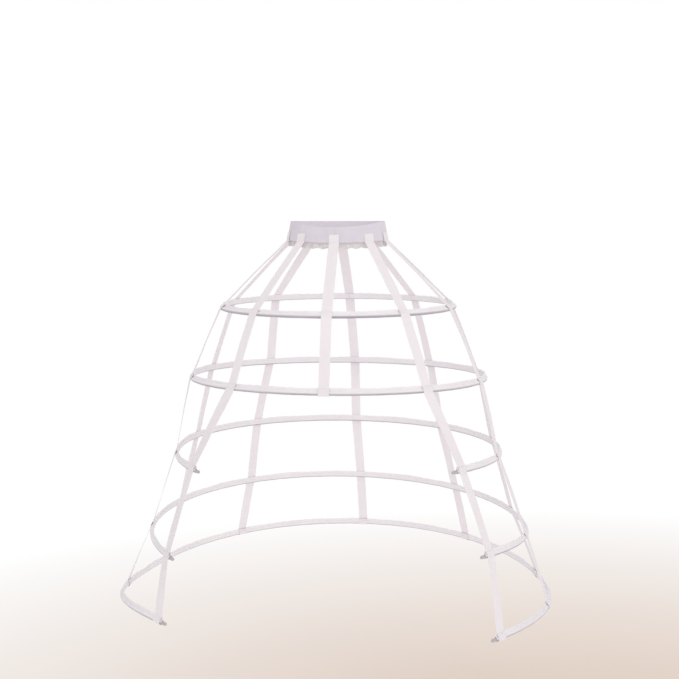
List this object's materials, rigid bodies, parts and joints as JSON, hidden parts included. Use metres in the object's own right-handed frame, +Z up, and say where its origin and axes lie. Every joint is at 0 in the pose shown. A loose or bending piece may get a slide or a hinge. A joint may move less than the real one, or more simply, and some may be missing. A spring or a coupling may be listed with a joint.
{
  "type": "crinoline cage",
  "caption": "White cage crinoline: elastic waistband with a lace edge, flat tape straps and boned hoops that widen downwards, the lower hoops open at the front.",
  "frame": {"origin": "middle of the waist opening, level with the top of the waistband at the sides", "axes": "+Z up along the wearer, -Y towards the wearer's front, +X towards the wearer's left"},
  "size_m": [1.1047, 0.9762, 0.9575],
  "materials": {
    "band_elastic": "ribbed elastic webbing, matt",
    "lace": "cotton lace, matt",
    "strap_tape": "woven tape, soft sheen",
    "casing_tape": "woven casing tape, soft sheen",
    "boning": "satin plastic",
    "joiner": "plated sleeve",
    "end_cap": "satin plastic"
  },
  "bodies": {
    "root": {"waistband": "band_elastic", "lace_edge": "lace", "strap_centre_front": "strap_tape", "strap_front_left": "strap_tape", "strap_front_right": "strap_tape", "strap_side_left": "strap_tape", "strap_side_right": "strap_tape", "strap_side_back_left": "strap_tape", "strap_side_back_right": "strap_tape", "strap_back_left": "strap_tape", "strap_back_right": "strap_tape", "strap_centre_back": "strap_tape", "casing_hoop_1": "casing_tape", "casing_hoop_2": "casing_tape", "casing_hoop_3": "casing_tape", "casing_hoop_4": "casing_tape", "casing_hoop_5": "casing_tape", "boning_hoop_1": "boning", "boning_hoop_2": "boning", "boning_hoop_3": "boning", "boning_hoop_4": "boning", "boning_hoop_5": "boning", "joiner_hoop_1": "joiner", "joiner_hoop_2": "joiner", "end_cap_hoop_3_left": "end_cap", "end_cap_hoop_3_right": "end_cap", "end_cap_hoop_4_left": "end_cap", "end_cap_hoop_4_right": "end_cap", "end_cap_hoop_5_left": "end_cap", "end_cap_hoop_5_right": "end_cap"}
  },
  "joints": []
}
